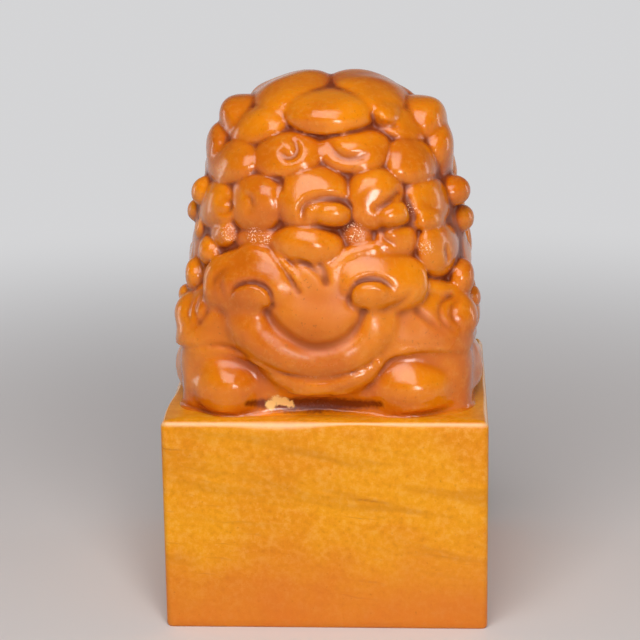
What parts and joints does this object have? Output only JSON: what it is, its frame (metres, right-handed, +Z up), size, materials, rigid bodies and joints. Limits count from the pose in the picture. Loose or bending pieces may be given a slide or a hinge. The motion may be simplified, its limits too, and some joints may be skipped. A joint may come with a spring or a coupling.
{
  "type": "seal stamp",
  "caption": "Square carved-stone seal stamp: a plain block with a relief-cut printing face and a crouching guardian beast with a curled mane as its knob.",
  "frame": {"origin": "middle of the printing face, on the plane that the seal stands on", "axes": "+Z up through the block and the knob, -Y the way the beast looks, +X to the right of someone facing the beast"},
  "size_m": [0.035, 0.035, 0.0586],
  "materials": {
    "block_stone": "satin, polished",
    "carved_stone": "gloss, polished",
    "face_stone": "matt, as cut, which is a guess"
  },
  "bodies": {
    "root": {"forehead_curl": "carved_stone", "head": "carved_stone", "left_brow": "carved_stone", "left_ear": "carved_stone", "left_eye": "carved_stone", "left_foreleg": "carved_stone", "left_hind_leg": "carved_stone", "lower_lip": "carved_stone", "mane_core": "carved_stone", "mane_curl_1_1": "carved_stone", "mane_curl_1_2": "carved_stone", "mane_curl_1_3": "carved_stone", "mane_curl_1_4": "carved_stone", "mane_curl_2_1": "carved_stone", "mane_curl_2_2": "carved_stone", "mane_curl_2_3": "carved_stone", "mane_curl_2_4": "carved_stone", "mane_curl_2_5": "carved_stone", "mane_curl_2_6": "carved_stone", "mane_curl_2_7": "carved_stone", "mane_curl_3_1": "carved_stone", "mane_curl_3_2": "carved_stone", "mane_curl_3_3": "carved_stone", "mane_curl_3_4": "carved_stone", "mane_curl_3_5": "carved_stone", "mane_curl_3_6": "carved_stone", "mane_curl_3_7": "carved_stone", "mane_curl_3_8": "carved_stone", "mane_curl_3_9": "carved_stone", "mane_curl_4_1": "carved_stone", "mane_curl_4_10": "carved_stone", "mane_curl_4_11": "carved_stone", "mane_curl_4_2": "carved_stone", "mane_curl_4_3": "carved_stone", "mane_curl_4_4": "carved_stone", "mane_curl_4_5": "carved_stone", "mane_curl_4_6": "carved_stone", "mane_curl_4_7": "carved_stone", "mane_curl_4_8": "carved_stone", "mane_curl_4_9": "carved_stone", "mane_curl_5_1": "carved_stone", "mane_curl_5_2": "carved_stone", "mane_curl_5_3": "carved_stone", "mane_curl_5_4": "carved_stone", "mane_curl_5_5": "carved_stone", "mane_curl_5_6": "carved_stone", "mane_curl_5_7": "carved_stone", "mane_curl_5_8": "carved_stone", "mane_curl_5_9": "carved_stone", "nose": "carved_stone", "right_brow": "carved_stone", "right_ear": "carved_stone", "right_eye": "carved_stone", "right_foreleg": "carved_stone", "right_hind_leg": "carved_stone", "seal_block": "block_stone", "seal_face": "face_stone", "tail": "carved_stone", "trunk": "carved_stone", "upper_lip": "carved_stone"}
  },
  "joints": []
}
